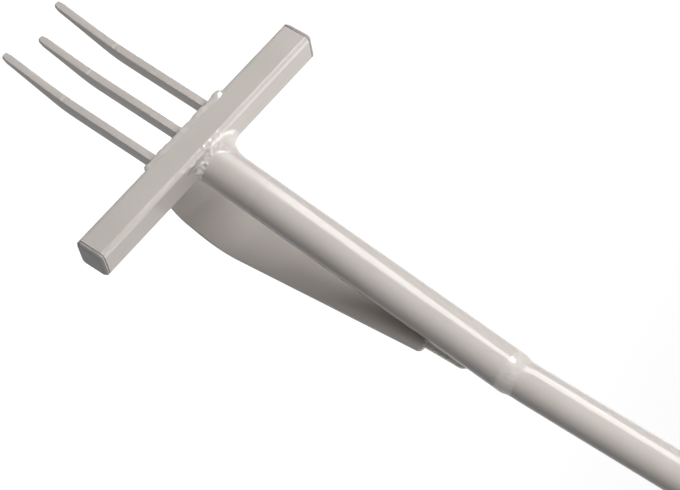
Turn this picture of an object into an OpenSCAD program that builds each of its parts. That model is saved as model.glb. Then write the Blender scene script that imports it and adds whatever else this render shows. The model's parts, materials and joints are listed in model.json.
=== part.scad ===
// Ragwort fork: a welded tubular steel lever fork with three tines, a foot bar,
// a heel plate to lever on, a cranked shaft and a T handle.
// Millimetres. +Z runs up the upper shaft, the front is -Y and +X is to the right.
// The origin is on the ground plane under the middle of the fork's bounding box, with
// the tines' tips at z = 0. The modules are drawn round the centre of the foot bar's
// front face, and placed() moves them all.

/* [Foot bar] */
// Length of the square tube, without its end caps
bar_len = 228; // [180:1:300]
// Outside width of the square tube
bar_w = 25; // [22:1:35]
// Wall of the square tube
bar_wall = 2; // [1.5:0.5:3]
// Outside corner radius of the square tube
bar_corner = 4; // [2.5:0.5:5]
// Thickness of a cap's flange
cap_t = 3.6; // [2:0.1:5]
// Chamfer round a cap's outer face
cap_chamfer = 1.8; // [1:0.1:1.9]
// Length of a cap's plug inside the tube
cap_plug = 16; // [8:1:25]
// Wall of a cap's plug
cap_wall = 2; // [1.5:0.5:3]

/* [Tines] */
// Distance between the centres of two tines
tine_pitch = 29; // [24:1:36]
// Width of a tine, along the foot bar
tine_t = 6; // [5:0.5:10]
// Depth of a tine from front to back
tine_depth = 12; // [9:0.5:16]
// Forward rake of a tine's straight part, in degrees
tine_rake = 5; // [0:1:10]
// Height from the bar down to a tine's bend
tine_bend_drop = 91.5; // [70:0.5:120]
// Radius of a tine's bend
tine_bend_r = 40; // [30:5:100]
// Reach of the outer tines below the bar
tine_outer_len = 147.5; // [130:0.5:180]
// Reach of the middle tine below the bar
tine_middle_len = 139; // [125:0.5:175]
// Forward angle of the outer tines' tips, in degrees
tine_outer_tip = 17.5; // [12:0.5:25]
// Forward angle of the middle tine's tip, in degrees
tine_middle_tip = 15; // [12:0.5:25]
// Depth of a tine's blunt end
tip_depth = 4.2; // [3:0.1:6]
// Length of the corners cut off a tine's end
tip_cut = 5; // [3:0.5:8]
// Width left at a tine's end
tip_w = 4.2; // [3:0.1:4.8]

/* [Shaft] */
// Outside diameter of the lower tube
lower_d = 31.8; // [31.4:0.2:36]
// Wall of the lower tube
lower_wall = 1.5; // [1.2:0.1:1.5]
// Backward lean of the lower tube, in degrees
shaft_lean = 10; // [6:1:12]
// Distance of the lower tube's axis behind the bar's front face, at the bar's top
shaft_y = 23; // [20:0.5:24]
// Length of the lower tube above the bar
lower_len = 266; // [250:1:320]
// Length of the tongue that the notched tube leaves behind the bar
lower_tail = 12; // [8:1:18]
// Outside diameter of the upper tube
upper_d = 28.6; // [27.6:0.1:28.6]
// Wall of the upper tube
upper_wall = 1.5; // [1.2:0.1:2]
// Length of the upper tube inside the lower one
overlap_len = 40; // [25:1:60]
// Distance between the joint and the crank
crank_gap = 9; // [7:1:16]
// Height of the handle's centre over the foot bar's centre
handle_z = 840; // [700:10:1000]

/* [Handle] */
// Length of the handle's cross tube
handle_len = 260; // [240:5:340]
// Outside diameter of the cross tube
handle_d = 31.8; // [31.4:0.2:36]
// Wall of the cross tube
handle_wall = 1.5; // [1.2:0.1:2]
// Length of a grip
grip_len = 102; // [80:1:104]
// Thickness of a grip's rubber
grip_t = 3; // [2.5:0.5:5]
// Height of a grip's end collars over the rubber
collar_h = 3; // [2:0.5:5]
// Width of a grip's end collars
collar_w = 5; // [4:0.5:8]
// Number of grooves round a grip
grip_grooves = 13; // [6:1:15]
// Width of a groove
groove_w = 2.2; // [1:0.1:2.6]
// Depth of a groove
groove_depth = 1.1; // [0.5:0.1:1.5]
// Thickness of an end plug's flange
plug_t = 4; // [3:0.5:6]
// Length of an end plug inside the tube
plug_len = 18; // [10:1:25]

/* [Heel plate] */
// Width of the heel plate
heel_w = 40; // [32:1:50]
// Thickness of the heel plate
heel_t = 3; // [2.5:0.5:5]
// Distance of the heel's upper bend behind the foot bar
heel_reach = 85.5; // [70:0.5:100]
// Height of the heel's upper bend over the bar's centre
heel_bend_z = 15.5; // [5:0.5:30]
// Distance that the heel's lower bend lies in front of the upper one
heel_toe_in = 23.5; // [15:0.5:30]
// Drop of the heel's lower bend below the bar's centre
heel_drop = 49; // [30:0.5:50]
// Radius of the upper bend
heel_upper_r = 70; // [30:1:80]
// Radius of the lower bend
heel_lower_r = 30; // [15:1:30]
// Height on the bar's back where the heel plate starts, below the bar's centre
heel_foot_drop = 6; // [2:0.5:7]
// Distance from the joint down to where the plate meets the lower tube
heel_top_drop = 64; // [55:1:90]
// Length of the tongue that lies on the tube
tongue_len = 33; // [24:1:45]
// Width of the tongue where it starts
tongue_w = 30; // [26:1:31]
// Width of the tongue near its end
tongue_end_w = 25; // [18:1:25]
// Radius of the corners at the tongue's end
tongue_corner = 6; // [3:1:8]
// Radius of the plate's shoulders beside the tongue
shoulder_r = 4; // [2:0.5:4.5]

/* [Welds] */
// Radius of the bead in front of the tines
tine_bead_r = 4.4; // [3:0.1:5]
// Length that this bead runs past the outer tines
tine_bead_over = 9.5; // [5:0.5:12]
// Radius of the beads behind the tines
tine_back_r = 3.6; // [2.5:0.1:4.5]
// Radius of the bead round the shaft's foot
foot_bead_r = 4.6; // [3:0.1:5]
// Height of the bead at the shaft's joint
joint_bead_h = 4.5; // [3:0.5:4.5]
// Size of the bead under the handle
handle_bead = 3.4; // [2:0.1:4]
// Distance that the beads beside the tongue reach down the tube's sides
tongue_bead_drop = 11; // [8:1:13]
// Size of the bead at the heel plate's foot
heel_bead_r = 4; // [3:0.1:5]

/* [Hidden] */
$fn = 64;
// Radial clearance of a piece that slides into a tube
slide_gap = 0.1;
// Clearance of a plastic plug in its tube
plug_gap = 0.2;
// Clearance of the tongue over the round tube
tongue_gap = 0.1;
// How much thinner the upper tube is below its crank, and how far that end bites into the rest
crank_step = 0.1;
crank_bite = 0.3;
// Length that a cutting shape runs past what it cuts
past = 1;
// Degrees between two points of a bend's outline
bend_step = 2.5;

bar_half = bar_w / 2;
bar_inner_corner = bar_corner - bar_wall > 0.3 ? bar_corner - bar_wall : 0.3;
lower_r = lower_d / 2;
lower_ir = lower_r - lower_wall;
upper_r = upper_d / 2 < lower_ir - slide_gap ? upper_d / 2 : lower_ir - slide_gap;
upper_ir = upper_r - upper_wall;
handle_r = handle_d / 2;
handle_ir = handle_r - handle_wall;
grip_r = handle_r + slide_gap + grip_t;
tine_bead_half = tine_pitch + tine_t / 2 + tine_bead_over;
foot_ring_r = lower_r + foot_bead_r * 0.3;

// The lower tube's axis as a direction and its backward normal, both as [y, z]
lean_dir = [sin(shaft_lean), cos(shaft_lean)];
lean_back = [cos(shaft_lean), -sin(shaft_lean)];
shaft_foot = [shaft_y, bar_half];
joint_at = shaft_foot + lower_len * lean_dir;
kink = joint_at + crank_gap * lean_dir;

// The heel plate's middle line as [y, z]: from the bar round the heel to the tube
heel_top = lower_len - heel_top_drop;
tongue_off = lower_r + tongue_gap + heel_t / 2;
heel_start = [bar_w - bar_wall, -heel_foot_drop];
heel_low = [bar_w + heel_reach - heel_toe_in, -heel_drop];
heel_back = [bar_w + heel_reach, heel_bend_z];
heel_meet = shaft_foot + heel_top * lean_dir + tongue_off * lean_back;
heel_end = heel_meet + tongue_len * lean_dir;
tongue_r = 20;
heel_points = [heel_start, heel_low, heel_back, heel_meet, heel_end];

// How far the fork reaches from the foot bar: down, forward and back
tip_z = bar_half + tine_outer_len + tip_depth / 2 * sin(tine_outer_tip);
tip_y = bar_half - tine_bend_drop * tan(tine_rake)
    - (tine_outer_len - tine_bend_drop) * tan(tine_outer_tip);
reach_front = tip_y - tip_depth / 2 * cos(tine_outer_tip);
reach_back = max([
    for (p = bent_line(heel_points, [heel_lower_r, heel_upper_r, tongue_r]))
        p[0][0] + heel_t / 2 * abs(p[1][0])
]);
mid_y = (reach_front + reach_back) / 2;

// Colours as the photo shows them
coat = [0.74, 0.72, 0.70];
bead_coat = [0.80, 0.78, 0.76];
cap_grey = [0.50, 0.47, 0.47];
grip_black = [0.12, 0.12, 0.13];

// A vector of length 1
function unit(v) = v / norm(v);

// The points of one rounded corner, each with its left-hand normal
function corner(before, at, after, r) =
    let (
        a = unit(at - before),
        b = unit(after - at),
        turn = atan2(a[0] * b[1] - a[1] * b[0], a * b),
        side = sign(turn),
        start = atan2(a[1], a[0]),
        centre = at - a * r * tan(abs(turn) / 2) + [-a[1], a[0]] * r * side,
        steps = ceil(abs(turn) / bend_step)
    )
    [for (i = [0:steps])
        let (ang = start + turn * i / steps, n = [-sin(ang), cos(ang)])
        [centre - n * r * side, n]];

// One end of a bent strip with its left-hand normal
function strip_end(at, dir) = [[at, [-dir[1], dir[0]]]];

// The rounded middle line through a list of corners
function bent_line(pts, radii) =
    let (last = len(pts) - 1)
    concat(
        strip_end(pts[0], unit(pts[1] - pts[0])),
        [for (i = [1:last - 1]) each corner(pts[i - 1], pts[i], pts[i + 1], radii[i - 1])],
        strip_end(pts[last], unit(pts[last] - pts[last - 1]))
    );

// The closed outline of a strip whose half thickness is given at each point
function strip_outline(line, halves) =
    let (last = len(line) - 1)
    concat(
        [for (i = [0:last]) line[i][0] + line[i][1] * halves[i]],
        [for (i = [last:-1:0]) line[i][0] - line[i][1] * halves[i]]
    );

// Moves the fork from the foot bar's frame to its own
module placed() { translate([0, -mid_y, tip_z]) children(); }

// Stands an outline drawn as [y, z] up and gives it a width along X
module across(width) {
    translate([-width / 2, 0, 0])
        rotate([90, 0, 90])
            linear_extrude(width) children();
}

// Gives an outline drawn as [x, z] a depth along Y, from y_low to y_high
module through(y_low, y_high) {
    translate([0, y_high, 0])
        rotate([90, 0, 0])
            linear_extrude(y_high - y_low) children();
}

// A square with round corners, centred, as straight pieces and true circles
module round_square(w, r) {
    square([w, w - 2 * r], center = true);
    square([w - 2 * r, w], center = true);
    for (sx = [-1, 1], sy = [-1, 1])
        translate([sx * (w / 2 - r), sy * (w / 2 - r)]) circle(r);
}

// The space that the foot bar takes, as one solid
module bar_space() {
    translate([0, bar_half, 0]) across(bar_len) round_square(bar_w, bar_corner);
}

// Stands things along the lower tube's axis, with z = 0 at the bar's top
module on_lower_axis() {
    translate([0, shaft_foot[0], shaft_foot[1]])
        rotate([-shaft_lean, 0, 0]) children();
}

// The space that the lower tube takes, as one solid
module lower_space() {
    on_lower_axis()
        translate([0, 0, -lower_tail]) cylinder(r = lower_r, h = lower_tail + lower_len);
}

// Lays things along the handle, with z = 0 at its middle
module on_handle() {
    translate([0, kink[0], handle_z]) rotate([0, 90, 0]) children();
}

module foot_bar() {
    color(coat)
        difference() {
            bar_space();
            translate([0, bar_half, 0])
                across(bar_len + 2 * past)
                    round_square(bar_w - 2 * bar_wall, bar_inner_corner);
        }
}

// The outline of a cap's flange with its chamfer, from the seam outwards
module cap_outline() {
    polygon([
        [0, -bar_half], [cap_t - cap_chamfer, -bar_half], [cap_t, cap_chamfer - bar_half],
        [cap_t, bar_half - cap_chamfer], [cap_t - cap_chamfer, bar_half], [0, bar_half]
    ]);
}

// A plastic cap at the bar's right end, with its hollow plug in the tube
module bar_cap() {
    plug_w = bar_w - 2 * (bar_wall + plug_gap);
    color(cap_grey)
        translate([bar_len / 2, bar_half, 0]) {
            intersection() {
                translate([cap_t / 2, 0, 0]) across(cap_t) round_square(bar_w, bar_corner);
                through(-bar_half, bar_half) cap_outline();
                translate([0, 0, -bar_half]) linear_extrude(bar_w) cap_outline();
            }
            translate([-cap_plug / 2, 0, 0])
                across(cap_plug)
                    difference() {
                        square(plug_w, center = true);
                        square(plug_w - 2 * cap_wall, center = true);
                    }
        }
}

module foot_bar_cap_right() { bar_cap(); }

module foot_bar_cap_left() { mirror([1, 0, 0]) bar_cap(); }

// A tine's side outline: straight and raked, then bent forward and tapered
module tine_side(reach, tip_angle) {
    root = [bar_half, -bar_half];
    bend = root + tine_bend_drop * [-tan(tine_rake), -1];
    tip = bend + (reach - tine_bend_drop) * [-tan(tip_angle), -1];
    above = root + tine_depth / 4 * [tan(tine_rake), 1];
    line = bent_line([above, bend, tip], [tine_bend_r]);
    last = len(line) - 1;
    halves = [for (i = [0:last]) (i < last ? tine_depth : tip_depth) / 2];
    polygon(strip_outline(line, halves));
}

// A tine's front outline: its width, with the corners cut off at the tip
module tine_front(reach) {
    low = -bar_half - reach - past;
    polygon([
        [-tine_t / 2, -bar_half], [-tine_t / 2, low + tip_cut + past],
        [-tip_w / 2, low + past], [-tip_w / 2, low], [tip_w / 2, low],
        [tip_w / 2, low + past], [tine_t / 2, low + tip_cut + past], [tine_t / 2, -bar_half]
    ]);
}

module tine(x, reach, tip_angle) {
    color(coat)
        translate([x, 0, 0])
            intersection() {
                across(tine_t + past) tine_side(reach, tip_angle);
                through(-2 * bar_w, 2 * bar_w) tine_front(reach);
            }
}

module tine_left() { tine(-tine_pitch, tine_outer_len, tine_outer_tip); }

module tine_middle() { tine(0, tine_middle_len, tine_middle_tip); }

module tine_right() { tine(tine_pitch, tine_outer_len, tine_outer_tip); }

module all_tines() {
    tine_left();
    tine_middle();
    tine_right();
}

// A straight bead along X with round ends
module bead_along_x(half, r) {
    rotate([0, 90, 0]) translate([0, 0, -half]) cylinder(r = r, h = 2 * half, $fn = 32);
    for (s = [-1, 1]) translate([s * half, 0, 0]) sphere(r, $fn = 32);
}

module tine_weld_front() {
    color(bead_coat)
        difference() {
            translate([0, tine_bead_r + 0.2, -bar_half])
                bead_along_x(tine_bead_half - tine_bead_r, tine_bead_r);
            bar_space();
            all_tines();
        }
}

module tine_weld_back() {
    back = bar_half + tine_depth / 2;
    color(bead_coat)
        difference() {
            for (i = [-1:1])
                translate([i * tine_pitch, back, -bar_half])
                    bead_along_x(tine_t / 2, tine_back_r);
            bar_space();
            all_tines();
        }
}

module shaft_lower() {
    color(coat)
        difference() {
            lower_space();
            on_lower_axis()
                translate([0, 0, -lower_tail - past])
                    cylinder(r = lower_ir, h = lower_tail + lower_len + 2 * past);
            bar_space();
            // The front of the tube ends on the bar's top face
            translate([-bar_w, -bar_w, -2 * bar_w])
                cube([2 * bar_w, 2 * bar_w, 2 * bar_w + bar_half]);
        }
}

// The bead round the tube's foot: a ring on the bar's top, and a run down each side behind it
module shaft_foot_weld() {
    color(bead_coat)
        difference() {
            union() {
                intersection() {
                    translate([0, shaft_y, bar_half])
                        rotate_extrude($fn = 64)
                            translate([foot_ring_r, 0]) circle(foot_bead_r, $fn = 24);
                    translate([-bar_w, 0, 0]) cube([2 * bar_w, bar_w, bar_w]);
                }
                for (s = [-1, 1])
                    translate([s * lower_r, bar_w, bar_half - lower_tail + foot_bead_r / 2])
                        cylinder(r = foot_bead_r * 0.75, h = lower_tail, $fn = 24);
            }
            bar_space();
            lower_space();
        }
}

// A round rod through a point [y, z], leaning back by an angle, from low to high along itself
module rod(r, at, lean, low, high) {
    translate([0, at[0], at[1]])
        rotate([-lean, 0, 0])
            translate([0, 0, low]) cylinder(r = r, h = high - low);
}

// One straight tube of the shaft's upper part
module upper_leg(r, at, lean, low, high) {
    difference() {
        rod(r, at, lean, low, high);
        rod(r - upper_wall, at, lean, low - past, high + past);
    }
}

// The space above or below a plane that leans with the tube at a point [y, z]
module half_space(at, lean, side) {
    size = 2 * handle_z;
    translate([0, at[0], at[1]])
        rotate([-lean, 0, 0])
            translate([-size / 2, -size / 2, side > 0 ? 0 : -size]) cube(size);
}

// The upper tube: its end in the lower tube, the crank, and the long run to the handle
module shaft_upper() {
    color(coat)
        difference() {
            union() {
                intersection() {
                    upper_leg(upper_r - crank_step, kink, shaft_lean, -overlap_len - crank_gap, crank_gap);
                    half_space(kink + [0, crank_bite], shaft_lean / 2, -1);
                }
                intersection() {
                    upper_leg(upper_r, kink, 0, -crank_gap, handle_z - kink[1]);
                    half_space(kink, shaft_lean / 2, 1);
                }
            }
            on_handle() cylinder(r = handle_r, h = 4 * upper_r, center = true);
        }
}

// A ring that closes the step between the two tubes
module shaft_joint_weld() {
    color(bead_coat)
        on_lower_axis()
            translate([0, 0, lower_len])
                rotate_extrude()
                    polygon([
                        [upper_r, 0], [lower_r, 0],
                        [lower_r - (lower_r - upper_r) * 0.25, joint_bead_h * 0.4],
                        [upper_r, joint_bead_h]
                    ]);
}

// The heel plate from the side, as one bent strip
module heel_side() {
    line = bent_line(heel_points, [heel_lower_r, heel_upper_r, tongue_r]);
    polygon(strip_outline(line, [for (p = line) heel_t / 2]));
}

// The heel plate from the front: its width, round shoulders and the tapered tongue
module heel_front() {
    shoulder_z = heel_meet[1];
    end_z = heel_end[1];
    low = -2 * heel_drop;
    half = heel_w / 2;
    side = tongue_end_w / 2;
    polygon([
        [-half, low], [half, low],
        [half, shoulder_z - shoulder_r], [-half, shoulder_z - shoulder_r]
    ]);
    translate([shoulder_r - half, shoulder_z - shoulder_r - past])
        square([heel_w - 2 * shoulder_r, shoulder_r + past]);
    for (s = [-1, 1])
        translate([s * (half - shoulder_r), shoulder_z - shoulder_r]) circle(shoulder_r);
    polygon([
        [-tongue_w / 2, shoulder_z - past], [tongue_w / 2, shoulder_z - past],
        [side, end_z - tongue_corner], [side - tongue_corner, end_z],
        [tongue_corner - side, end_z], [-side, end_z - tongue_corner]
    ]);
    for (s = [-1, 1])
        translate([s * (side - tongue_corner), end_z - tongue_corner]) circle(tongue_corner);
}

module heel_plate() {
    color(coat)
        difference() {
            intersection() {
                across(heel_w + past) heel_side();
                through(0, 2 * (bar_w + heel_reach)) heel_front();
            }
            bar_space();
        }
}

// The bead in the corner between the bar's back face and the heel plate
module heel_foot_weld() {
    run = unit(heel_low - heel_start);
    mid_z = heel_start[1] + (bar_w - heel_start[0]) * run[1] / run[0];
    root = [bar_w, mid_z + heel_t / 2 / run[0]];
    color(bead_coat)
        across(heel_w) polygon([root, root + heel_bead_r * run, root + [0, heel_bead_r]]);
}

// The two beads that fill the wedges between the flat tongue and the round tube
module heel_tongue_weld() {
    side = tongue_end_w / 2;
    flat = lower_r + tongue_gap;
    low = flat - tongue_bead_drop;
    run = tongue_len - tongue_corner;
    color(bead_coat)
        difference() {
            on_lower_axis()
                translate([0, 0, heel_top])
                    for (s = [-1, 1])
                        linear_extrude(run)
                            polygon([
                                [s * side / 4, flat], [s * side, flat],
                                [s * lower_r, low], [s * side / 4, low]
                            ]);
            lower_space();
            across(2 * heel_w) heel_side();
        }
}

module handle_bar() {
    color(coat)
        on_handle()
            difference() {
                cylinder(r = handle_r, h = handle_len, center = true);
                cylinder(r = handle_ir, h = handle_len + 2 * past, center = true);
            }
}

// The bead that follows the saddle where the shaft meets the handle
module handle_weld() {
    color(bead_coat)
        difference() {
            intersection() {
                translate([0, kink[0], handle_z - handle_r - handle_bead - past])
                    cylinder(r = upper_r + handle_bead, h = handle_r + handle_bead + past);
                on_handle()
                    cylinder(r = handle_r + handle_bead, h = 4 * upper_r, center = true);
            }
            on_handle() cylinder(r = handle_r, h = 5 * upper_r, center = true);
            translate([0, kink[0], handle_z - 2 * handle_r])
                cylinder(r = upper_r, h = 2 * handle_r);
        }
}

// One grip's outline from its bore outwards: grooved, with a chamfered collar at each end
module grip_outline() {
    bore = handle_r + slide_gap;
    out = grip_t + collar_h;
    soft = collar_h / 2;
    run = grip_len - 2 * collar_w;
    difference() {
        translate([bore, 0]) square([grip_t, grip_len]);
        for (i = [1:grip_grooves])
            translate([grip_r - groove_depth, collar_w + run * i / (grip_grooves + 1) - groove_w / 2])
                square([groove_depth + past, groove_w]);
    }
    for (z = [0, grip_len - collar_w])
        translate([bore, z])
            polygon([
                [0, 0], [out - soft, 0], [out, soft],
                [out, collar_w - soft], [out - soft, collar_w], [0, collar_w]
            ]);
}

module grip() {
    color(grip_black)
        on_handle()
            translate([0, 0, handle_len / 2 - grip_len])
                rotate_extrude() grip_outline();
}

module grip_right() { grip(); }

module grip_left() { mirror([1, 0, 0]) grip(); }

// An end plug of the handle: a domed flange and a hollow spigot
module handle_plug() {
    spigot_r = handle_ir - plug_gap;
    dome = plug_t / 2;
    color(grip_black)
        on_handle()
            translate([0, 0, handle_len / 2])
                rotate_extrude()
                    polygon([
                        [0, 0], [spigot_r - cap_wall, 0], [spigot_r - cap_wall, -plug_len],
                        [spigot_r, -plug_len], [spigot_r, 0], [grip_r - dome, 0], [grip_r, dome],
                        [grip_r - dome, plug_t - dome / 2], [grip_r - 3 * dome, plug_t], [0, plug_t]
                    ]);
}

module handle_plug_right() { handle_plug(); }

module handle_plug_left() { mirror([1, 0, 0]) handle_plug(); }

placed() foot_bar();
placed() foot_bar_cap_left();
placed() foot_bar_cap_right();
placed() tine_left();
placed() tine_middle();
placed() tine_right();
placed() tine_weld_front();
placed() tine_weld_back();
placed() shaft_lower();
placed() shaft_foot_weld();
placed() shaft_upper();
placed() shaft_joint_weld();
placed() heel_plate();
placed() heel_foot_weld();
placed() heel_tongue_weld();
placed() handle_bar();
placed() handle_weld();
placed() grip_left();
placed() grip_right();
placed() handle_plug_left();
placed() handle_plug_right();
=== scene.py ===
import json
import math

import bmesh
import bpy
import numpy as np
from mathutils import Matrix, Vector


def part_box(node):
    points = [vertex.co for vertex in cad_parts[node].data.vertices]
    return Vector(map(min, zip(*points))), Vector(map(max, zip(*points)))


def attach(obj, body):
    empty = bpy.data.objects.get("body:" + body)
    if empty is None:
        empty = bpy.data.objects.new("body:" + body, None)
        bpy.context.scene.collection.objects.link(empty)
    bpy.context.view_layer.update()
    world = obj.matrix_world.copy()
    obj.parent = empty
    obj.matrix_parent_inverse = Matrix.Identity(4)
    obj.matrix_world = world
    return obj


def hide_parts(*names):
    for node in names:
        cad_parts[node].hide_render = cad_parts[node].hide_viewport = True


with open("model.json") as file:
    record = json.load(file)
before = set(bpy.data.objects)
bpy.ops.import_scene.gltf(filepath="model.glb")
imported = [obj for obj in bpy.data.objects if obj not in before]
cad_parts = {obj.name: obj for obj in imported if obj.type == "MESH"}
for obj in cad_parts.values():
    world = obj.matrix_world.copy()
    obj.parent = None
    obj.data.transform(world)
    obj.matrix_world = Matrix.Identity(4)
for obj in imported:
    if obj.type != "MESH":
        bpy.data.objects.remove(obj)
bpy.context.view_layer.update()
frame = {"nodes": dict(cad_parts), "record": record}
nodes = frame["nodes"]
slots = {s["node"]: s["material_slot"] for s in frame["record"]["subparts"]}

# Picture and view settings
scene = bpy.context.scene
scene.view_settings.view_transform = "Standard"

# Sizes in millimetres, as the solids have them
BAR_W = 25.0
BAR_HALF = BAR_W / 2
BAR_CORNER = 4.0
BAR_LEN = 228.0
BAR_WALL = 2.0
TINE_PITCH = 29.0
TINE_HALF = 3.0
TINE_DEPTH = 12.0
TINE_RAKE = 5.0
TINE_BEND_DROP = 91.5
TIP_DEPTH = 4.2
TIP_W = 4.2
TIP_CUT = 5.0
LOWER_R = 15.9
LOWER_WALL = 1.5
LOWER_LEN = 266.0
LEAN = 10.0
SHAFT_Y = 23.0
UPPER_R = 14.3
UPPER_WALL = 1.5
OVERLAP = 40.0
CRANK_GAP = 9.0
HANDLE_Z = 840.0
HANDLE_R = 15.9
HANDLE_LEN = 260.0
GRIP_LEN = 102.0
GRIP_T = 3.0
COLLAR_H = 3.0
COLLAR_W = 5.0
HEEL_T = 3.0
HEEL_W = 40.0
HEEL_TOP = 202.0
TONGUE_LEN = 33.0
TONGUE_GAP = 0.1
TONGUE_W = 30.0
TONGUE_END_W = 25.0
TONGUE_CORNER = 6.0
SHOULDER_R = 4.0

# The foot bar's front face carries the origin that the sizes are drawn about
bar_low, bar_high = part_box("foot_bar")
bar = (Vector(bar_low) + Vector(bar_high)) / 2
BASE = np.array([0.0, bar_low[1], bar[2]])

# Directions of the lower tube: up along it, and backwards across it
LEAN_UP = np.array([0.0, math.sin(math.radians(LEAN)), math.cos(math.radians(LEAN))])
LEAN_BACK = np.array([0.0, math.cos(math.radians(LEAN)), -math.sin(math.radians(LEAN))])
SHAFT_FOOT = np.array([0.0, SHAFT_Y, BAR_HALF])
JOINT = SHAFT_FOOT + LOWER_LEN * LEAN_UP
KINK = JOINT + CRANK_GAP * LEAN_UP


def srgb(*values):
    """Turns 0 to 255 picture values into the linear colour that a shader takes."""
    out = []
    for v in values:
        c = v / 255
        out.append(c / 12.92 if c <= 0.04045 else ((c + 0.055) / 1.055) ** 2.4)
    return (*out, 1.0)


def new_material(name, colour, roughness, coat=0.0):
    """A material with one principled shader."""
    m = bpy.data.materials.new(name)
    m.use_nodes = True
    shader = m.node_tree.nodes["Principled BSDF"]
    shader.inputs["Base Color"].default_value = colour
    shader.inputs["Roughness"].default_value = roughness
    shader.inputs["Coat Weight"].default_value = coat
    shader.inputs["Coat Roughness"].default_value = 0.08
    return m


def noise_node(m, scale, detail, rough=0.5):
    """A noise texture on the object's own coordinates."""
    tree = m.node_tree
    coords = tree.nodes.get("Texture Coordinate") or tree.nodes.new("ShaderNodeTexCoord")
    noise = tree.nodes.new("ShaderNodeTexNoise")
    noise.inputs["Scale"].default_value = scale
    noise.inputs["Detail"].default_value = detail
    noise.inputs["Roughness"].default_value = rough
    tree.links.new(coords.outputs["Object"], noise.inputs["Vector"])
    return noise


def ramp_node(m, source, low, high, a, b):
    """Maps a value between two levels to two colours."""
    ramp = m.node_tree.nodes.new("ShaderNodeValToRGB")
    ramp.color_ramp.elements[0].position = low
    ramp.color_ramp.elements[1].position = high
    ramp.color_ramp.elements[0].color = a
    ramp.color_ramp.elements[1].color = b
    m.node_tree.links.new(source, ramp.inputs["Fac"])
    return ramp


def vary_colour(m, scale, a, b):
    """Lets the base colour wander between two near shades."""
    noise = noise_node(m, scale, 3.0)
    ramp = ramp_node(m, noise.outputs["Fac"], 0.35, 0.65, a, b)
    shader = m.node_tree.nodes["Principled BSDF"]
    m.node_tree.links.new(ramp.outputs["Color"], shader.inputs["Base Color"])


def vary_roughness(m, scale, low, high):
    """Lets the roughness wander between two levels."""
    noise = noise_node(m, scale, 2.0)
    spread = m.node_tree.nodes.new("ShaderNodeMapRange")
    spread.inputs["From Min"].default_value = 0.3
    spread.inputs["From Max"].default_value = 0.7
    spread.inputs["To Min"].default_value = low
    spread.inputs["To Max"].default_value = high
    shader = m.node_tree.nodes["Principled BSDF"]
    m.node_tree.links.new(noise.outputs["Fac"], spread.inputs["Value"])
    m.node_tree.links.new(spread.outputs["Result"], shader.inputs["Roughness"])


def dull_band(m, low, high, stops):
    """Changes the coat's roughness with the height above the ground, as (share of the way up, roughness).

    Behind the shaft, where the heel plate is, the last roughness holds at every height.
    """
    tree = m.node_tree
    parts = tree.nodes.new("ShaderNodeSeparateXYZ")
    tree.links.new(tree.nodes["Texture Coordinate"].outputs["Object"], parts.inputs["Vector"])
    share = tree.nodes.new("ShaderNodeMapRange")
    share.inputs["From Min"].default_value = low
    share.inputs["From Max"].default_value = high
    tree.links.new(parts.outputs["Z"], share.inputs["Value"])
    behind = tree.nodes.new("ShaderNodeMapRange")
    behind.inputs["From Min"].default_value = 0.02
    behind.inputs["From Max"].default_value = 0.03
    tree.links.new(parts.outputs["Y"], behind.inputs["Value"])
    larger = tree.nodes.new("ShaderNodeMath")
    larger.operation = "MAXIMUM"
    tree.links.new(share.outputs["Result"], larger.inputs[0])
    tree.links.new(behind.outputs["Result"], larger.inputs[1])
    ends = [(r, r, r, 1.0) for r in (stops[0][1], stops[-1][1])]
    ramp = ramp_node(m, larger.outputs["Value"], stops[0][0], stops[-1][0], *ends)
    ramp.color_ramp.interpolation = "EASE"
    for place, r in stops[1:-1]:
        ramp.color_ramp.elements.new(place).color = (r, r, r, 1.0)
    tree.links.new(ramp.outputs["Color"], tree.nodes["Principled BSDF"].inputs["Coat Roughness"])


def plain_away_from_beads(m, extra):
    """Adds roughness above the foot's welds and on the smooth flare at the shaft's left side."""
    tree = m.node_tree
    parts = tree.nodes.new("ShaderNodeSeparateXYZ")
    tree.links.new(tree.nodes["Texture Coordinate"].outputs["Object"], parts.inputs["Vector"])
    shares = []
    for axis, start, stop, low, high in (("X", -0.012, -0.004, 1.0, 0.0), ("Z", 0.205, 0.22, 0.0, 1.0)):
        share = tree.nodes.new("ShaderNodeMapRange")
        share.inputs["From Min"].default_value = start
        share.inputs["From Max"].default_value = stop
        share.inputs["To Min"].default_value = low
        share.inputs["To Max"].default_value = high
        tree.links.new(parts.outputs[axis], share.inputs["Value"])
        shares.append(share)
    larger = tree.nodes.new("ShaderNodeMath")
    larger.operation = "MAXIMUM"
    added = tree.nodes.new("ShaderNodeMath")
    added.operation = "MULTIPLY_ADD"
    added.inputs[1].default_value = extra
    shader = tree.nodes["Principled BSDF"]
    before = shader.inputs["Roughness"].links[0].from_socket
    tree.links.new(shares[0].outputs["Result"], larger.inputs[0])
    tree.links.new(shares[1].outputs["Result"], larger.inputs[1])
    tree.links.new(larger.outputs["Value"], added.inputs[0])
    tree.links.new(before, added.inputs[2])
    tree.links.new(added.outputs["Value"], shader.inputs["Roughness"])


def add_bumps(m, layers):
    """Gives a material uneven surfaces, each as (scale, strength, distance, detail)."""
    tree = m.node_tree
    before = None
    for scale, strength, distance, detail in layers:
        noise = noise_node(m, scale, detail)
        bump = tree.nodes.new("ShaderNodeBump")
        bump.inputs["Strength"].default_value = strength
        bump.inputs["Distance"].default_value = distance
        tree.links.new(noise.outputs["Fac"], bump.inputs["Height"])
        if before:
            tree.links.new(before.outputs["Normal"], bump.inputs["Normal"])
        before = bump
    shader = tree.nodes["Principled BSDF"]
    tree.links.new(before.outputs["Normal"], shader.inputs["Normal"])


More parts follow.
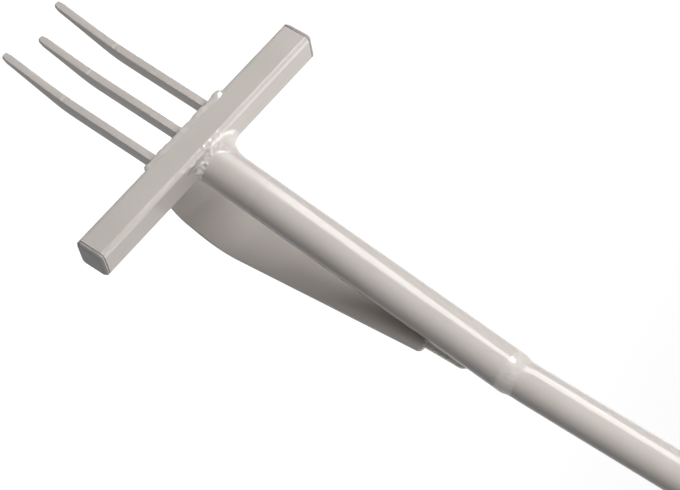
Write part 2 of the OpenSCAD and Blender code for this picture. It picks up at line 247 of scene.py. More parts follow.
coat = new_material("coated_steel", srgb(200, 193, 188), 0.5, 0.8)
vary_colour(coat, 14.0, srgb(198, 191, 185), srgb(203, 196, 191))
vary_roughness(coat, 60.0, 0.46, 0.54)
add_bumps(coat, [(700.0, 0.05, 0.0003, 2.0)])
coat.node_tree.nodes["Principled BSDF"].inputs["Specular IOR Level"].default_value = 0.08
dull_band(coat, 0.15, 0.3, ((0.16, 0.08), (0.18, 0.36), (0.32, 0.34), (0.74, 0.08)))
weld = new_material("coated_weld", srgb(202, 195, 190), 0.2, 0.8)
vary_colour(weld, 90.0, srgb(196, 188, 182), srgb(206, 200, 195))
weld.node_tree.nodes["Principled BSDF"].inputs["Coat IOR"].default_value = 1.8
vary_roughness(weld, 200.0, 0.07, 0.16)
plain_away_from_beads(weld, 0.35)
add_bumps(weld, [(260.0, 0.4, 0.0008, 2.0), (900.0, 0.1, 0.0003, 2.0)])
cap = new_material("cap_plastic", srgb(163, 157, 157), 0.42)
vary_colour(cap, 120.0, srgb(159, 153, 153), srgb(166, 160, 160))
add_bumps(cap, [(1300.0, 0.15, 0.0002, 2.0)])
rubber = new_material("grip_rubber", srgb(42, 42, 44), 0.6)
vary_colour(rubber, 80.0, srgb(38, 38, 40), srgb(48, 48, 50))
vary_roughness(rubber, 150.0, 0.5, 0.68)
add_bumps(rubber, [(1100.0, 0.35, 0.0003, 2.0)])
plug = new_material("plug_plastic", srgb(36, 36, 38), 0.4)
vary_colour(plug, 100.0, srgb(33, 33, 35), srgb(40, 40, 42))
add_bumps(plug, [(1500.0, 0.12, 0.0002, 2.0)])

looks = {
    "coated_steel": coat, "coated_weld": weld, "cap_plastic": cap,
    "grip_rubber": rubber, "plug_plastic": plug,
}
for name, piece in nodes.items():
    piece.data.materials.clear()
    piece.data.materials.append(looks[slots[name]])


def add_piece(name, points, faces, replaced, flat_angle=None):
    """Makes a mesh piece from points in millimetres, in place of a node of the frame."""
    mesh = bpy.data.meshes.new(name)
    placed = np.asarray(points, float) * 0.001 + BASE
    mesh.from_pydata([tuple(p) for p in placed], [], [tuple(f) for f in faces])
    return add_mesh(name, mesh, replaced, flat_angle)


def add_mesh(name, mesh, replaced, flat_angle=None):
    """Takes a mesh as a piece, in place of a node of the frame."""
    mesh.validate()
    mesh.update()
    piece = bpy.data.objects.new(name, mesh)
    scene.collection.objects.link(piece)
    mesh.materials.append(looks[slots[replaced]])
    for face in mesh.polygons:
        face.use_smooth = True
    if flat_angle:
        mesh.set_sharp_from_angle(angle=math.radians(flat_angle))
        weighted = piece.modifiers.new("flats", "WEIGHTED_NORMAL")
        weighted.keep_sharp = True
        weighted.weight = 100
    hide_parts(replaced)
    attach(piece, "root")
    return piece


def loft(rings, close_start=True, close_end=True, around=False):
    """Joins rings of equally many points. The ends are closed with fans, or the last ring meets the first."""
    count = len(rings[0])
    points = [p for ring in rings for p in ring]
    faces = []
    pairs = [(i, i + 1) for i in range(len(rings) - 1)]
    if around:
        pairs.append((len(rings) - 1, 0))
    for i, j in pairs:
        for k in range(count):
            n = (k + 1) % count
            faces.append((i * count + k, i * count + n, j * count + n, j * count + k))
    if not around and close_start:
        points.append(np.mean(rings[0], axis=0))
        middle = len(points) - 1
        faces += [(middle, (k + 1) % count, k) for k in range(count)]
    if not around and close_end:
        points.append(np.mean(rings[-1], axis=0))
        middle = len(points) - 1
        last = (len(rings) - 1) * count
        faces += [(middle, last + k, last + (k + 1) % count) for k in range(count)]
    return points, faces


def round_rect(half_w, half_h, corner, steps=5):
    """The outline of a rectangle with round corners, anticlockwise from the right."""
    corner = min(corner, half_w * 0.98, half_h * 0.98)
    out = []
    for sx, sy, start in ((1, -1, -90), (1, 1, 0), (-1, 1, 90), (-1, -1, 180)):
        cx = sx * (half_w - corner)
        cy = sy * (half_h - corner)
        for i in range(steps + 1):
            a = math.radians(start + 90 * i / steps)
            out.append((cx + corner * math.cos(a), cy + corner * math.sin(a)))
    return out


def surface_nets(field, low, step):
    """Turns a grid of signed distances, negative inside, into a closed mesh."""
    inside = field < 0
    shape = np.array(field.shape) - 1
    count = np.zeros(shape, int)
    for i in (0, 1):
        for j in (0, 1):
            for k in (0, 1):
                count += inside[i:shape[0] + i, j:shape[1] + j, k:shape[2] + k]
    active = (count > 0) & (count < 8)
    index = -np.ones(shape, int)
    index[active] = np.arange(active.sum())
    cells = np.argwhere(active)
    total = np.zeros((len(cells), 3))
    hits = np.zeros(len(cells))
    for axis in range(3):
        along = np.eye(3, dtype=int)[axis]
        for a in (0, 1):
            for b in (0, 1):
                start = cells + np.insert([a, b], axis, 0)
                f0 = field[tuple(start.T)]
                f1 = field[tuple((start + along).T)]
                cross = (f0 < 0) != (f1 < 0)
                share = f0[cross] / (f0[cross] - f1[cross])
                total[cross] += start[cross] + share[:, None] * along
                hits[cross] += 1
    points = np.array(low) + step * total / hits[:, None]
    faces = []
    for axis in range(3):
        along = np.eye(3, dtype=int)[axis]
        u = np.eye(3, dtype=int)[(axis + 1) % 3]
        v = np.eye(3, dtype=int)[(axis + 2) % 3]
        first = np.take(inside, range(field.shape[axis] - 1), axis)
        second = np.take(inside, range(1, field.shape[axis]), axis)
        found = np.argwhere(first != second)
        keep = (found @ u >= 1) & (found @ v >= 1)
        keep &= (found @ u < shape @ u) & (found @ v < shape @ v)
        found = found[keep]
        quad = [found - u - v, found - v, found, found - u]
        quad = np.stack([index[tuple(q.T)] for q in quad], axis=1)
        outward = first[tuple(found.T)]
        quad[~outward] = quad[~outward][:, ::-1]
        faces.append(quad)
    return points, np.concatenate(faces)


def drop_crumbs(points, faces, least):
    """Leaves out loose bits with fewer faces than the least."""
    label = np.arange(len(points))
    while True:
        low = label[faces].min(axis=1)
        new = label.copy()
        for k in range(faces.shape[1]):
            np.minimum.at(new, faces[:, k], low)
        new = new[new]
        if (new == label).all():
            break
        label = new
    names, sizes = np.unique(label[faces[:, 0]], return_counts=True)
    good = set(names[sizes >= least])
    faces = faces[[label[f[0]] in good for f in faces]]
    used = np.unique(faces)
    renumber = np.zeros(len(points), int)
    renumber[used] = np.arange(len(used))
    return points[used], renumber[faces]


def grid(low, high, step):
    """A grid of points as three arrays, and where it starts."""
    axes = [np.arange(a, b + step, step) for a, b in zip(low, high)]
    return np.meshgrid(*axes, indexing="ij")


def blend_min(a, b, k):
    """The smaller of two distances, with a fillet of about k where they meet."""
    h = np.maximum(k - np.abs(a - b), 0) / k
    return np.minimum(a, b) - h * h * k / 4


def away_from_bar(y, z):
    """Distance from the foot bar."""
    qy = np.abs(y - BAR_HALF) - (BAR_HALF - BAR_CORNER)
    qz = np.abs(z) - (BAR_HALF - BAR_CORNER)
    outer = np.hypot(np.maximum(qy, 0), np.maximum(qz, 0))
    return outer + np.minimum(np.maximum(qy, qz), 0) - BAR_CORNER


def away_from_lower(x, y, z):
    """Distance from the lower tube, taken as a solid rod without ends."""
    across = (y - SHAFT_FOOT[1]) * LEAN_BACK[1] + (z - SHAFT_FOOT[2]) * LEAN_BACK[2]
    return np.hypot(x, across) - LOWER_R


def away_from_box(p, centre, half):
    """Distance from a plain box."""
    q = [np.abs(a - c) - h for a, c, h in zip(p, centre, half)]
    outer = np.sqrt(sum(np.maximum(a, 0) ** 2 for a in q))
    return outer + np.minimum(np.maximum(np.maximum(q[0], q[1]), q[2]), 0)


def lumps(p, spots):
    """A sum of soft bumps, each as (centre, height, radius)."""
    out = np.zeros(p[0].shape)
    for centre, height, radius in spots:
        far = sum((a - c) ** 2 for a, c in zip(p, centre))
        out += height * np.exp(-far / (2 * radius * radius))
    return out


def add_weld(name, field, low, step, least=60):
    """Makes a weld piece of a distance field, as a lumpy closed solid."""
    points, faces = surface_nets(field, low, step)
    points, faces = drop_crumbs(points, faces, least)
    return add_piece(name + "_bead", points, faces, name)


SINK = 0.07
FINE = 0.45

# The bead round the shaft's foot: sharp small lumps in front, a wide smooth flare on its left side
rng = np.random.default_rng(11)
low = (-40.0, 0.0, -2.0)
x, y, z = grid(low, (33.0, 36.0, 37.0), FINE)
from_bar = away_from_bar(y, z)
from_tube = away_from_lower(x, y, z)
spots = []
for step in range(28):
    turn = math.radians(-36 + 3.8 * step + rng.uniform(-2.0, 2.0))
    reach = LOWER_R + rng.uniform(0.2, 2.8)
    spots.append((
        (reach * math.sin(turn), max(SHAFT_Y - reach * math.cos(turn), 1.4), BAR_HALF + rng.uniform(0.2, 4.2)),
        rng.uniform(0.5, 1.4), rng.uniform(0.65, 1.25),
    ))
for spot_x in (-11.0, -8.0, -5.5, -3.0, -0.5, 2.0, 4.5, 7.0, 10.0, 13.0, 16.5):
    spots.append(((spot_x + rng.uniform(-0.7, 0.7), 1.2 + rng.uniform(0.0, 2.6), BAR_HALF - 0.9 + rng.uniform(-0.6, 1.0)),
                  rng.uniform(0.5, 1.2), rng.uniform(0.8, 1.3)))
for spot in ((18.6, 4.6, 1.2, 1.3), (18.2, 9.0, 0.8, 1.5), (22.0, 3.4, 0.9, 1.0), (23.6, 6.4, 0.5, 1.4), (28.6, 2.4, 0.6, 1.1)):
    spots.append(((spot[0], spot[1], BAR_HALF), spot[2], spot[3]))
side = 0.5 - 0.5 * np.tanh((x + 6.0) / 6.0)
back = (0.5 - 0.5 * np.tanh((y - 26.0) / 3.0)) * (0.5 + 0.5 * np.tanh((y - 6.0) / 8.0))
fillet = 3.95 - 1.75 * np.tanh((x - 3.0) / 5.0) + 10.5 * side * back
stretch = 1 + 0.55 * side * back
solid = blend_min(from_bar / stretch, from_tube, fillet) - lumps((x, y, z), spots) + SINK
near = np.hypot(np.maximum(from_bar, -2), np.maximum(from_tube, -2)) - 9.0 - 10.5 * side * back
from_drops = np.full(x.shape, 99.0)
for centre, _, radius in spots[-5:]:
    from_drops = np.minimum(from_drops, np.sqrt(sum((a - c) ** 2 for a, c in zip((x, y, z), centre))) - 2.2 * radius)
field = np.maximum(solid, np.minimum(near, from_drops))
field = np.maximum(field, np.maximum(y - 34.5, -0.5 - z))
add_weld("shaft_foot_weld", field, low, FINE)

# The bead in front of the tines
rng = np.random.default_rng(5)
low = (-52.0, -5.0, -23.0)
x, y, z = grid(low, (52.0, 16.0, -1.0), FINE)
from_bar = away_from_bar(y, z)
from_tines = np.full(x.shape, 99.0)
rake = math.tan(math.radians(TINE_RAKE))
for i in (-1, 0, 1):
    middle_y = BAR_HALF + (z + BAR_HALF) * rake
    from_tines = np.minimum(from_tines, away_from_box(
        (x, y - middle_y, z), (i * TINE_PITCH, 0, -60), (TINE_HALF, TINE_DEPTH / 2, 50)))
girth = 3.9 + 0.3 * np.sin(x * 0.31 + 1.0) + 0.15 * np.sin(x * 0.83)
girth = girth + 0.5 * np.exp(-((x + 39.0) / 6.0) ** 2)
over = np.abs(x) - 38.5
from_line = np.hypot(y - 4.0, z + 11.6)
bead = np.hypot(from_line, np.maximum(over, 0)) - girth
spots = []
for step in range(29):
    spots.append(((-42.0 + 3.0 * step, 0.6 + rng.uniform(-0.6, 1.2), -13.2 + rng.uniform(-1.5, 2.5)),
                  rng.uniform(0.05, 0.25), rng.uniform(1.6, 2.4)))
solid = blend_min(blend_min(bead, from_bar, 1.2), from_tines, 2.5)
solid = solid - lumps((x, y, z), spots) + SINK
near = np.hypot(np.maximum(from_line - girth, 0), np.maximum(over - 3.0, 0)) - 3.0
add_weld("tine_weld_front", np.maximum(solid, near), low, FINE)

# The three beads behind the tines
rng = np.random.default_rng(7)
low = (-40.0, 10.0, -23.0)
x, y, z = grid(low, (40.0, 30.0, -4.0), FINE)
from_bar = away_from_bar(y, z)
solid = np.full(x.shape, 99.0)
near = np.full(x.shape, 99.0)
spots = []
for i in (-1, 0, 1):
    middle_y = BAR_HALF + (z + BAR_HALF) * rake
    from_tine = away_from_box(
        (x, y - middle_y, z), (i * TINE_PITCH, 0, -60), (TINE_HALF, TINE_DEPTH / 2, 50))
    bead = np.hypot(np.hypot(y - 18.3, z + 12.6), np.maximum(np.abs(x - i * TINE_PITCH) - 3.0, 0)) - 3.0
    each = blend_min(blend_min(bead, from_bar, 3.0), from_tine, 3.0)
    solid = np.minimum(solid, each)
    near = np.minimum(near, bead - 3.2)
    for step in range(4):
        spots.append(((i * TINE_PITCH - 5.0 + 3.2 * step, 20.3 + rng.uniform(-0.8, 0.8), -15.0 + rng.uniform(-1, 1)),
                      rng.uniform(0.2, 0.6), rng.uniform(1.3, 1.9)))
solid = solid - lumps((x, y, z), spots) + SINK
add_weld("tine_weld_back", np.maximum(solid, near), low, FINE)

# The bead in the corner between the bar's back and the heel plate
rng = np.random.default_rng(3)
low = (-24.0, 19.0, -16.0)
x, y, z = grid(low, (24.0, 36.0, 6.0), FINE)
from_bar = away_from_bar(y, z)
start = np.array([BAR_W - BAR_WALL, -6.0])
run = np.array([BAR_W + 62.0, -49.0]) - start
run /= np.linalg.norm(run)
from_plate = np.abs((y - start[0]) * -run[1] + (z - start[1]) * run[0]) - HEEL_T / 2
from_plate = np.maximum(from_plate, np.abs(x) - HEEL_W / 2)
corner_z = start[1] + 2.0 * run[1] / run[0]
spots = [((-18.0 + 3.1 * i, BAR_W + 1.8 + rng.uniform(-0.5, 0.5), corner_z + 3.0 + rng.uniform(-0.8, 0.8)),
          rng.uniform(0.5, 1.1), rng.uniform(1.4, 2.0)) for i in range(13)]
solid = blend_min(from_bar, from_plate, 6.5) - lumps((x, y, z), spots) + SINK
near = np.hypot(y - BAR_W, z - corner_z) - 7.0
field = np.maximum(np.maximum(solid, near), np.abs(x) - HEEL_W / 2 - 0.4)
add_weld("heel_foot_weld", field, low, FINE)


def lean_points(p):
    """Points given across, behind and along the lower tube, in the bar's frame."""
    p = np.asarray(p, float)
    return SHAFT_FOOT + p[:, :1] * [1, 0, 0] + p[:, 1:2] * LEAN_BACK + p[:, 2:] * LEAN_UP


# The two beads beside the tongue, on the lower tube's own axes
rng = np.random.default_rng(9)
low = (-19.0, 2.0, HEEL_TOP - 6.0)
x, y, z = grid(low, (19.0, 22.0, HEEL_TOP + TONGUE_LEN + 4.0), FINE)
from_tube = np.hypot(x, y) - LOWER_R
half = (TONGUE_W + (TONGUE_END_W - TONGUE_W) * (z - HEEL_TOP) / TONGUE_LEN) / 2
half = half - np.maximum(z - (HEEL_TOP + TONGUE_LEN - TONGUE_CORNER), 0) ** 2 / 14.0
flat = LOWER_R + TONGUE_GAP
from_tongue = np.maximum(np.abs(y - flat - HEEL_T / 2) - HEEL_T / 2, np.abs(x) - half)
from_tongue = np.maximum(from_tongue, HEEL_TOP - 2.0 - z)
spots = []
for side in (-1, 1):
    for i in range(10):
        spots.append(((side * (14.2 - 0.14 * i), 13.0 + rng.uniform(-1.2, 0.8), HEEL_TOP + 1.0 + 3.0 * i),
                      rng.uniform(0.2, 0.55), rng.uniform(1.4, 2.0)))
solid = blend_min(from_tube, from_tongue, 7.0) - lumps((x, y, z), spots) + SINK
solid = np.maximum(solid, y - flat - HEEL_T + 0.5)
near = np.hypot(np.maximum(from_tube, -1.5), np.maximum(from_tongue, -1.5)) - 8.0
field = np.maximum(np.maximum(solid, near), z - (HEEL_TOP + TONGUE_LEN + 1.5))
field = np.maximum(field, HEEL_TOP - 3.0 - z)
points, faces = surface_nets(field, low, FINE)
points, faces = drop_crumbs(points, faces, 60)
add_piece("heel_tongue_weld_bead", lean_points(points), faces, "heel_tongue_weld")

# The bead under the handle
rng = np.random.default_rng(21)
low = (-24.0, KINK[1] - 24.0, HANDLE_Z - 26.0)
x, y, z = grid(low, (24.0, KINK[1] + 24.0, HANDLE_Z + 4.0), FINE)
from_shaft = np.hypot(x, y - KINK[1]) - UPPER_R
from_handle = np.hypot(y - KINK[1], z - HANDLE_Z) - HANDLE_R
spots = []
for i in range(32):
    turn = 2 * math.pi * i / 32
    side_y = (UPPER_R + 1.2) * math.cos(turn)
    drop = math.sqrt(max((HANDLE_R + 1.2) ** 2 - side_y ** 2, 0))
    spots.append((((UPPER_R + 1.2) * math.sin(turn), KINK[1] + side_y, HANDLE_Z - drop),
                  rng.uniform(0.4, 0.9), rng.uniform(1.4, 1.9)))
solid = blend_min(from_shaft, from_handle, 6.0) - lumps((x, y, z), spots) + SINK
near = np.hypot(np.maximum(from_shaft, -1.5), np.maximum(from_handle, -1.5)) - 6.5
add_weld("handle_weld", np.maximum(solid, near), low, FINE)


def lathe(profile, place, segments=96):
    """Turns a closed profile of (radius, height) round an axis. place puts (x, y, height) where it belongs."""
    rings = []
    for i in range(segments):
        a = 2 * math.pi * i / segments
        rings.append([place(r * math.cos(a), r * math.sin(a), h) for r, h in profile])
    return loft(rings, around=True)


def rounded(profile, radius, steps=4):
    """Rounds the corners of a closed profile."""
    out = []
    count = len(profile)
    pts = [np.array(p, float) for p in profile]
    for i, at in enumerate(pts):
        a = pts[i - 1] - at
        b = pts[(i + 1) % count] - at
        la = np.linalg.norm(a)
        lb = np.linalg.norm(b)
        cut = min(radius, la * 0.45, lb * 0.45)
        p = at + a / la * cut
        q = at + b / lb * cut
        for k in range(steps + 1):
            t = k / steps
            out.append(tuple((1 - t) ** 2 * p + 2 * t * (1 - t) * at + t * t * q))
    return out


def on_handle(side):
    """Places (x, y, height along the handle) on one side of the handle."""
    return lambda px, py, h: (side * h, KINK[1] + py, HANDLE_Z + side * px)


# Grips with grooves and collars, and the end plugs
bore = HANDLE_R + 0.1
skin = bore + GRIP_T
inner_end = HANDLE_LEN / 2 - GRIP_LEN
profile = [(bore, inner_end), (skin + COLLAR_H, inner_end), (skin + COLLAR_H, inner_end + COLLAR_W),
           (skin, inner_end + COLLAR_W)]
run = GRIP_LEN - 2 * COLLAR_W
for i in range(13):
    middle = inner_end + COLLAR_W + run * (i + 1) / 14
    profile += [(skin, middle - 1.1), (skin - 1.1, middle - 0.8), (skin - 1.1, middle + 0.8), (skin, middle + 1.1)]
far = HANDLE_LEN / 2
profile += [(skin, far - COLLAR_W), (skin + COLLAR_H, far - COLLAR_W), (skin + COLLAR_H, far), (bore, far)]
profile = rounded(profile, 1.2)
spigot = HANDLE_R - 1.5 - 0.2
plug_profile = [(0.01, far), (spigot - 2, far), (spigot - 2, far - 18), (spigot, far - 18), (spigot, far),
                (skin, far), (skin, far + 2.4), (skin - 1.6, far + 3.7), (9.0, far + 4.0), (8.4, far + 3.2),
                (0.01, far + 3.2)]
plug_profile = plug_profile[:1] + rounded(plug_profile, 0.6)[5:-5] + plug_profile[-1:]
for side, word in ((-1, "left"), (1, "right")):
    points, faces = lathe(profile, on_handle(side))
    add_piece("grip_" + word + "_sleeve", points, faces, "grip_" + word, 50)
    points, faces = lathe(plug_profile, on_handle(side), 64)
    add_piece("handle_plug_" + word + "_cover", points, faces, "handle_plug_" + word, 50)

# The plastic caps in the bar's ends: a hollow plug, a seam, a flange and a soft chamfer
cap_rings = [
    (0.4, 1.0, 1.0), (0.4, 8.3, 1.0), (-16.0, 8.3, 1.0), (-16.0, 10.3, 1.5), (0.0, 10.3, 1.5),
    (0.0, 11.7, 3.5), (0.35, 11.75, 3.5), (0.45, 12.25, 3.8), (0.7, 12.46, 4.0), (1.5, 12.5, 4.0),
    (1.8, 12.47, 4.0), (2.1, 12.3, 3.9), (3.2, 11.2, 3.2), (3.45, 10.9, 3.0), (3.6, 10.5, 2.8),
    (3.6, 9.0, 2.4), (3.6, 4.0, 1.5),
]
for side, word in ((-1, "left"), (1, "right")):
    rings = []
    for out, half, corner in cap_rings:
        rings.append([(side * (BAR_LEN / 2 + out), BAR_HALF + side * a, b)
                      for a, b in round_rect(half, half, corner, 6)])
    points, faces = loft(rings)
    add_piece("foot_bar_cap_" + word + "_moulded", points, faces, "foot_bar_cap_" + word, 35)


def tine_rings(x, reach, tip_angle):
    """Rings along a tine from above the weld to the blunt tip, with a pressed crease at the bend."""
    up = math.tan(math.radians(TINE_RAKE))
    slope = math.tan(math.radians(tip_angle))
    root = np.array([BAR_HALF, -BAR_HALF])
    bend = root + TINE_BEND_DROP * np.array([-up, -1.0])
    tip = bend + (reach - TINE_BEND_DROP) * np.array([-slope, -1.0])
    d0 = (bend - root) / np.linalg.norm(bend - root)
    d1 = (tip - bend) / np.linalg.norm(tip - bend)
    long0 = np.linalg.norm(bend - root)
    long1 = np.linalg.norm(tip - bend)
    soft = 5.0
    stations = [2.0, 8.0, 16.0]
    stations += list(np.linspace(24, long0 - 14, 10))
    stations += list(np.linspace(long0 - 12, long0 + 12, 61))
    stations += list(np.linspace(long0 + 14, long0 + long1 - 5, 20))
    stations += [long0 + long1 - e for e in (4.0, 3.0, 2.1, 1.5, 1.0, 0.6, 0.3, 0.1, 0.0)]
    rings = []
    end = long0 + long1
    for s in stations:
        past = s - long0
        turn = 1 / (1 + math.exp(-past / soft))
        d = d0 * (1 - turn) + d1 * turn
        d = d / np.linalg.norm(d)
        at = root + d0 * min(s, long0) if past < 0 else bend + d1 * past
        swing = soft * math.log(1 + math.exp(-abs(past) / soft))
        at = at + (d1 - d0) * swing
        normal = np.array([-d[1], d[0]])
        normal = -normal if normal[0] > 0 else normal
        share = max(past, 0) / long1
        half_d = (TINE_DEPTH * (1 - share) + TIP_DEPTH * share) / 2
        left = end - s
        half_w = TINE_HALF - (TINE_HALF - TIP_W / 2) * max(1 - left / TIP_CUT, 0)
        dome = 1.0
        if left < 1.0:
            dome = math.sqrt(max(1 - (1 - left) ** 2, 0.0))
        half_w *= 0.66 + 0.34 * dome
        half_d *= 0.66 + 0.34 * dome
        dent = 0.38 * math.exp(-(past / 0.9) ** 2) - 0.12 * math.exp(-((past - 2.2) / 1.0) ** 2)
        ring = []
        for a, b in round_rect(half_w, half_d, 0.55 + 0.3 * turn * min(left / 25, 1), 5):
            if b > half_d * 0.5:
                b -= dent
            centre = at + normal * b
            ring.append((x + a, centre[0], centre[1]))
        rings.append(ring)
    return rings


for x_place, reach, tip_angle, word in (
    (-TINE_PITCH, 147.5, 17.5, "left"), (0.0, 139.0, 15.0, "middle"), (TINE_PITCH, 147.5, 17.5, "right"),
):
    points, faces = loft(tine_rings(x_place, reach, tip_angle))
    add_piece("tine_" + word + "_forged", points, faces, "tine_" + word, 60)

# The heel plate with its edges eased
mesh = bpy.data.meshes.new("heel_plate_eased")
shape = bmesh.new()
shape.from_mesh(nodes["heel_plate"].data)
shape.transform(nodes["heel_plate"].matrix_world)
bmesh.ops.remove_doubles(shape, verts=shape.verts, dist=1e-6)
bmesh.ops.dissolve_limit(shape, angle_limit=math.radians(0.5), verts=shape.verts, edges=shape.edges)
sharp = [e for e in shape.edges if len(e.link_faces) == 2 and e.calc_face_angle() > math.radians(50)]
bmesh.ops.bevel(shape, geom=sharp, offset=0.0005, offset_type="OFFSET", segments=3, profile=0.5,
                affect="EDGES", clamp_overlap=True)
bmesh.ops.triangulate(shape, faces=shape.faces)
shape.to_mesh(mesh)
shape.free()
print("heel plate", len(mesh.polygons), "faces,", len(sharp), "sharp edges")
add_mesh("heel_plate_eased", mesh, "heel_plate", 40)

# The upper tube with a smooth crank
bend_r = 95.0
tangent = bend_r * math.tan(math.radians(LEAN / 2))
path = [(KINK - LEAN_UP * (OVERLAP + CRANK_GAP), LEAN_UP)]
centre = KINK - LEAN_UP * tangent - LEAN_BACK * bend_r
for i in range(13):
    a = math.radians(LEAN * (1 - i / 12))
    out = np.array([0.0, math.cos(a), -math.sin(a)])
    path.append((centre + out * bend_r, np.array([0.0, math.sin(a), math.cos(a)])))
top = np.array([0.0, path[-1][0][1], HANDLE_Z - 6.0])
for share in np.linspace(0.1, 1.0, 10):
    path.append((path[13][0] + (top - path[13][0]) * share, np.array([0.0, 0.0, 1.0])))
outer = []
inner = []
for at, along in path:
    back = np.array([0.0, along[2], -along[1]])
    for ring, r in ((outer, UPPER_R), (inner, UPPER_R - UPPER_WALL)):
        ring.append([tuple(at + r * math.cos(a) * np.array([1.0, 0, 0]) + r * math.sin(a) * back)
                     for a in np.linspace(0, 2 * math.pi, 96, endpoint=False)])
points, faces = loft(outer + inner[::-1], around=True)
add_piece("shaft_upper_cranked", points, faces, "shaft_upper", 50)

# The dressed weld where the two tubes meet
rng = np.random.default_rng(2)
ring_count = 120
wave = [(rng.uniform(0.5, 1.0), k, rng.uniform(0, 2 * math.pi)) for k in (2, 3, 5, 8)]
rings = []
for i in range(ring_count):
    a = 2 * math.pi * i / ring_count
    wobble = sum(w * math.sin(k * a + p) for w, k, p in wave) / 4
    shape = [
        (LOWER_R - 0.6, -6.0), (LOWER_R - 0.02, -6.0), (LOWER_R + 0.05, -4.0 + 0.5 * wobble),
        (LOWER_R + 0.1, -2.0 + 0.03 * wobble), (LOWER_R + 0.04, -0.4 + 0.3 * wobble), (LOWER_R - 0.14, 0.8),
        (LOWER_R - 0.42, 2.0 + 0.3 * wobble), (LOWER_R - 0.8, 3.2), (LOWER_R - 1.15, 4.4 + 0.4 * wobble),
        (UPPER_R + 0.2, 5.8), (UPPER_R + 0.04, 7.4 + 0.4 * wobble), (UPPER_R - 0.6, 8.2), (UPPER_R - 0.6, -6.0),
    ]
    rings.append([tuple(JOINT + r * math.cos(a) * np.array([1.0, 0, 0]) + r * math.sin(a) * LEAN_BACK + h * LEAN_UP)
                  for r, h in shape])
points, faces = loft(rings, around=True)
add_piece("shaft_joint_weld_dressed", points, faces, "shaft_joint_weld", 70)

# The camera, found from the photograph's edges
RIGHT = Vector((-0.61341, 0.11123, 0.78189)).normalized()
FORWARD = Vector((-0.37529, 0.83006, -0.4125))
FORWARD = (FORWARD - RIGHT * FORWARD.dot(RIGHT)).normalized()
UP = RIGHT.cross(FORWARD)
camera = bpy.data.objects.new("camera", bpy.data.cameras.new("camera"))
camera.data.lens = 110.03
camera.data.sensor_width = 36.0
camera.data.clip_start = 0.05
camera.data.clip_end = 50.0
turn = Matrix((RIGHT, UP, -FORWARD)).transposed()
camera.matrix_world = Matrix.Translation(bar + Vector((0.5480, -1.1908, 0.7291))) @ turn.to_4x4()
scene.collection.objects.link(camera)
scene.camera = camera


def path_switch(tree, plain, shown):
    """Shows one shader to the camera, to mirrors and through glass, and gives light with the other."""
    path_node = tree.nodes.new("ShaderNodeLightPath")
    first = tree.nodes.new("ShaderNodeMath")
    first.operation = "MAXIMUM"
    second = tree.nodes.new("ShaderNodeMath")
    second.operation = "MAXIMUM"
    tree.links.new(path_node.outputs["Is Camera Ray"], first.inputs[0])
    tree.links.new(path_node.outputs["Is Glossy Ray"], first.inputs[1])
    tree.links.new(first.outputs["Value"], second.inputs[0])
    tree.links.new(path_node.outputs["Is Transmission Ray"], second.inputs[1])
    mix = tree.nodes.new("ShaderNodeMixShader")
    tree.links.new(second.outputs["Value"], mix.inputs["Fac"])
    tree.links.new(plain, mix.inputs[1])
    tree.links.new(shown, mix.inputs[2])
    return mix


# White surroundings for the camera and for reflections, a plainer level for the light
world = bpy.data.worlds.new("world")
scene.world = world
world.use_nodes = True
tree = world.node_tree
tree.nodes.clear()
output = tree.nodes.new("ShaderNodeOutputWorld")
light_bg = tree.nodes.new("ShaderNodeBackground")
light_bg.inputs["Color"].default_value = (1, 1, 1, 1)
light_bg.inputs["Strength"].default_value = 0.03
white_bg = tree.nodes.new("ShaderNodeBackground")
white_bg.inputs["Color"].default_value = (1, 1, 1, 1)
white_bg.inputs["Strength"].default_value = 1.0
mix = path_switch(tree, light_bg.outputs["Background"], white_bg.outputs["Background"])
tree.links.new(mix.outputs["Shader"], output.inputs["Surface"])

# The floor under the tines' tips: near white, and it keeps a faint shadow
floor_mesh = bpy.data.meshes.new("floor")
floor_mesh.from_pydata([(-6, -6, 0), (6, -6, 0), (6, 6, 0), (-6, 6, 0)], [], [(0, 1, 2, 3)])
floor = bpy.data.objects.new("floor", floor_mesh)
scene.collection.objects.link(floor)
floor_look = bpy.data.materials.new("floor_white")
floor_look.use_nodes = True
tree = floor_look.node_tree
tree.nodes.clear()
output = tree.nodes.new("ShaderNodeOutputMaterial")
glow = tree.nodes.new("ShaderNodeEmission")
glow.inputs["Strength"].default_value = 0.96
matt = tree.nodes.new("ShaderNodeBsdfDiffuse")
matt.inputs["Color"].default_value = (0.2, 0.2, 0.2, 1)
plain = tree.nodes.new("ShaderNodeBsdfDiffuse")
plain.inputs["Color"].default_value = (0.9, 0.9, 0.9, 1)
both = tree.nodes.new("ShaderNodeAddShader")
tree.links.new(glow.outputs["Emission"], both.inputs[0])
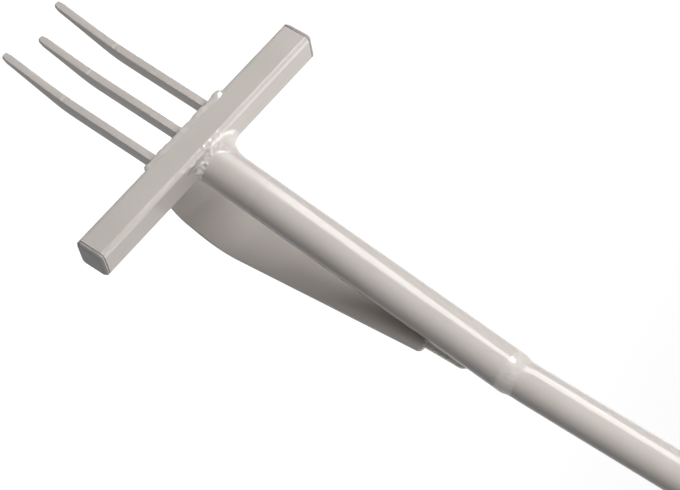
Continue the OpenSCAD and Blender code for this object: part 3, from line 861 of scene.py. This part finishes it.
tree.links.new(matt.outputs["BSDF"], both.inputs[1])
mix = path_switch(tree, plain.outputs["BSDF"], both.outputs["Shader"])
tree.links.new(mix.outputs["Shader"], output.inputs["Surface"])
floor_mesh.materials.append(floor_look)
floor.visible_shadow = False
floor.visible_diffuse = False
floor.visible_glossy = False
floor.visible_transmission = False


def lamp(name, place, along, size, radiance, target=(0.12, -0.08, 0.04), glossy=True, diffuse=True):
    """A soft rectangular lamp. place, along and target count to the picture's right, up and towards the camera."""
    at = bar + RIGHT * place[0] + UP * place[1] - FORWARD * place[2]
    to = bar + RIGHT * target[0] + UP * target[1] - FORWARD * target[2]
    z_axis = (at - to).normalized()
    y_axis = RIGHT * along[0] + UP * along[1] - FORWARD * along[2]
    y_axis = (y_axis - z_axis * y_axis.dot(z_axis)).normalized()
    x_axis = y_axis.cross(z_axis)
    data = bpy.data.lights.new(name, "AREA")
    data.shape = "RECTANGLE"
    data.size = size[0]
    data.size_y = size[1]
    data.energy = radiance * math.pi * size[0] * size[1]
    thing = bpy.data.objects.new(name, data)
    thing.matrix_world = Matrix.Translation(at) @ Matrix((x_axis, y_axis, z_axis)).transposed().to_4x4()
    thing.visible_camera = False
    thing.visible_glossy = glossy
    thing.visible_diffuse = diffuse
    scene.collection.objects.link(thing)
    return thing


lamp("strip", (0.86, 4.0, 1.5), (0.0, 0.0, -1.0), (1.27, 4.6), 7.6, (0.86, -1.0, 1.5), diffuse=False)
lamp("side_key", (0.58, 0.13, 0.8), (1.0, 0.0, 0.0), (0.5, 0.5), 3.6, glossy=False)
lamp("front_key", (0.36, 0.0, 0.97), (1.0, 0.0, 0.0), (0.5, 0.5), 4.1, glossy=False)
lamp("fill", (0.33, 0.68, 0.68), (1.0, 0.0, 0.0), (0.5, 0.5), 6.6, glossy=False)
lamp("top", (1.3, -0.5, -0.2), (0.0, 1.0, 0.0), (1.2, 1.2), 2.5)
lamp("behind", (0.2, 0.2, -1.6), (1.0, 0.0, 0.0), (1.6, 1.6), 0.3)
